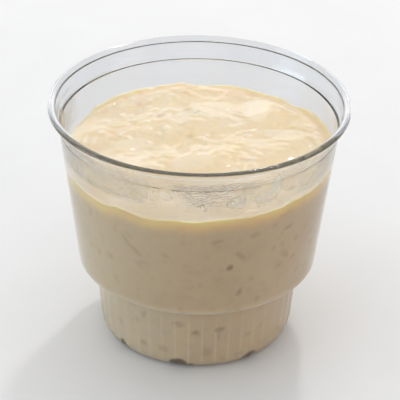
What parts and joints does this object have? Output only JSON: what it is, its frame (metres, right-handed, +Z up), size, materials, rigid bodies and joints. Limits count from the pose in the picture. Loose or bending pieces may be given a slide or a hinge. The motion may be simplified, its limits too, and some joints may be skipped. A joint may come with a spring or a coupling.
{
  "type": "rice pudding",
  "caption": "Rice pudding in a clear footed dessert cup with a rolled rim, a stacking ledge and a fluted foot.",
  "frame": {"origin": "centre of the ring that the cup stands on", "axes": "+Z up along the cup's axis; -Y is the front, from which the cup is seen"},
  "size_m": [0.095, 0.095, 0.082],
  "materials": {
    "cup": "clear moulded, glossy",
    "rice_pudding": "moist cream with wet glints"
  },
  "bodies": {
    "root": {"cup": "cup", "rice_pudding": "rice_pudding"}
  },
  "joints": []
}
